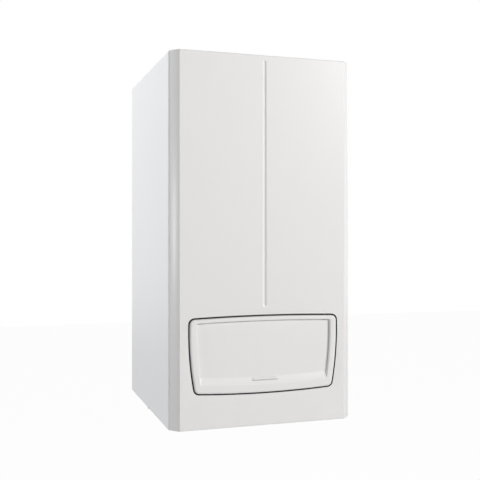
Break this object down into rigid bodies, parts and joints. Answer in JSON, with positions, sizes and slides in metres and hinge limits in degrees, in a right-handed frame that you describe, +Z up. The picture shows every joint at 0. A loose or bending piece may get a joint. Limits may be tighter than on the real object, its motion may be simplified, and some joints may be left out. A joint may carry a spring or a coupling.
{
  "type": "wall-hung gas boiler",
  "caption": "Wall-hung condensing gas boiler: steel casing, lift-off front cover with a lift-up control flap, and the burner, fan, pump and pipes inside.",
  "frame": {"origin": "on the wall plane, midway between the two hanging slots", "axes": "+Z up, -Y out of the wall towards the room, +X to the right as seen from the room"},
  "size_m": [0.44, 0.495, 0.9162],
  "materials": {
    "white_paint": "fine textured white powder coat",
    "galvanised": "galvanised sheet",
    "zinc_screw": "zinc plated",
    "foam_seal": "closed cell foam",
    "frame_grey": "dark grey moulded plastic",
    "flap_white": "white moulded plastic, fine satin",
    "pin_steel": "ground steel",
    "box_grey": "moulded plastic",
    "fascia_grey": "fine spark-eroded texture",
    "display_dark": "display housing",
    "lens_clear": "clear",
    "gauge_black": "glossy black",
    "dial_white": "printed white",
    "needle_red": "red",
    "knob_grey": "moulded plastic",
    "button_red": "moulded plastic",
    "board_green": "solder mask",
    "terminal_green": "moulded plastic",
    "gland_grey": "moulded plastic",
    "stainless": "stainless sheet",
    "cast_alloy": "as cast",
    "ceramic_fibre": "pressed ceramic fibre board",
    "burner_steel": "heat tinted stainless",
    "ceramic_white": "unglazed",
    "fan_alloy": "as cast",
    "impeller_grey": "plain",
    "motor_black": "moulded plastic",
    "copper": "bare copper tube",
    "gas_pipe": "bare tube",
    "brass": "bare brass",
    "flue_plastic": "moulded plastic",
    "hood_grey": "moulded plastic",
    "pump_cast": "painted casting",
    "pump_red": "painted",
    "relief_red": "moulded plastic",
    "handle_blue": "moulded plastic",
    "trap_white": "translucent moulded plastic",
    "hose_grey": "ribbed hose"
  },
  "bodies": {
    "casing": {"rear_frame": "galvanised", "side_panel_left": "white_paint", "side_panel_right": "white_paint", "top_panel": "white_paint", "bottom_panel": "galvanised", "panel_screws": "zinc_screw", "cover_screws": "zinc_screw", "flue_collar": "white_paint", "control_box": "box_grey", "fascia": "fascia_grey", "display_module": "display_dark", "display_lens": "lens_clear", "gauge_case": "gauge_black", "gauge_dial": "dial_white", "gauge_lens": "lens_clear", "control_board": "board_green", "terminal_block": "terminal_green", "dash_brackets": "galvanised", "cable_gland": "gland_grey", "exchanger_shell": "stainless", "exchanger_coil": "stainless", "burner_door": "cast_alloy", "door_insulation": "ceramic_fibre", "burner_tube": "burner_steel", "electrodes": "ceramic_white", "fan_housing": "fan_alloy", "fan_motor": "motor_black", "air_gas_mixer": "cast_alloy", "gas_valve": "fan_alloy", "gas_pipes": "gas_pipe", "flue_hood": "hood_grey", "flue_pipe": "flue_plastic", "exchanger_brackets": "galvanised", "pipe_connectors": "brass", "flow_pipe": "copper", "return_pipes": "copper", "pump_body": "pump_cast", "pump_motor": "pump_red", "safety_valve": "brass", "drain_cock": "brass", "air_vent": "brass", "condensate_trap": "trap_white", "condensate_hose": "hose_grey"},
    "cover": {"front_cover": "white_paint", "cover_seal": "foam_seal", "cover_studs": "pin_steel", "flap_frame": "frame_grey"},
    "flap": {"control_flap": "flap_white", "flap_pins": "pin_steel"},
    "needle": {"gauge_needle": "needle_red"},
    "selector": {"selector_knob": "knob_grey"},
    "heating": {"heating_knob": "knob_grey"},
    "hot_water": {"hot_water_knob": "knob_grey"},
    "reset": {"reset_button": "button_red"},
    "info": {"info_button": "knob_grey"},
    "impeller": {"fan_impeller": "impeller_grey"},
    "rotor": {"pump_rotor": "pin_steel"},
    "relief": {"relief_knob": "relief_red"},
    "drain": {"drain_handle": "handle_blue"}
  },
  "joints": [
    {"name": "cover_slide", "type": "slide", "parent": "casing", "child": "cover", "axis": [0, -1, 0], "range_m": [0, 0.15]},
    {"name": "flap_hinge", "type": "hinge", "parent": "cover", "child": "flap", "pos_m": [0, -0.489, -0.54603], "axis": [-1, 0, 0], "range_deg": [0, 95]},
    {"name": "needle_turn", "type": "hinge", "parent": "casing", "child": "needle", "pos_m": [-0.128, -0.464, -0.614], "axis": [0, 1, 0], "range_deg": [0, 270], "stiffness_Nm_per_rad": 0.0005},
    {"name": "selector_turn", "type": "hinge", "parent": "casing", "child": "selector", "pos_m": [-0.074, -0.468, -0.614], "axis": [0, 1, 0], "range_deg": [0, 120]},
    {"name": "heating_turn", "type": "hinge", "parent": "casing", "child": "heating", "pos_m": [0.074, -0.468, -0.614], "axis": [0, 1, 0], "range_deg": [0, 270]},
    {"name": "hot_water_turn", "type": "hinge", "parent": "casing", "child": "hot_water", "pos_m": [0.128, -0.468, -0.614], "axis": [0, 1, 0], "range_deg": [0, 270]},
    {"name": "reset_press", "type": "slide", "parent": "casing", "child": "reset", "axis": [0, 1, 0], "range_m": [0, 0.002], "stiffness_N_per_m": 400},
    {"name": "info_press", "type": "slide", "parent": "casing", "child": "info", "axis": [0, 1, 0], "range_m": [0, 0.002], "stiffness_N_per_m": 400},
    {"name": "fan_spin", "type": "hinge", "parent": "casing", "child": "impeller", "pos_m": [-0.055, -0.33, -0.051], "axis": [0, 1, 0], "continuous": true},
    {"name": "pump_spin", "type": "hinge", "parent": "casing", "child": "rotor", "pos_m": [0.1688, -0.09, -0.571], "axis": [0, 1, 0], "continuous": true},
    {"name": "relief_turn", "type": "hinge", "parent": "casing", "child": "relief", "pos_m": [-0.175, -0.15, -0.556], "axis": [0, 0, 1], "range_deg": [0, 90]},
    {"name": "drain_turn", "type": "hinge", "parent": "casing", "child": "drain", "pos_m": [0.1688, -0.14, -0.694], "axis": [0, -1, 0], "range_deg": [0, 90]}
  ]
}
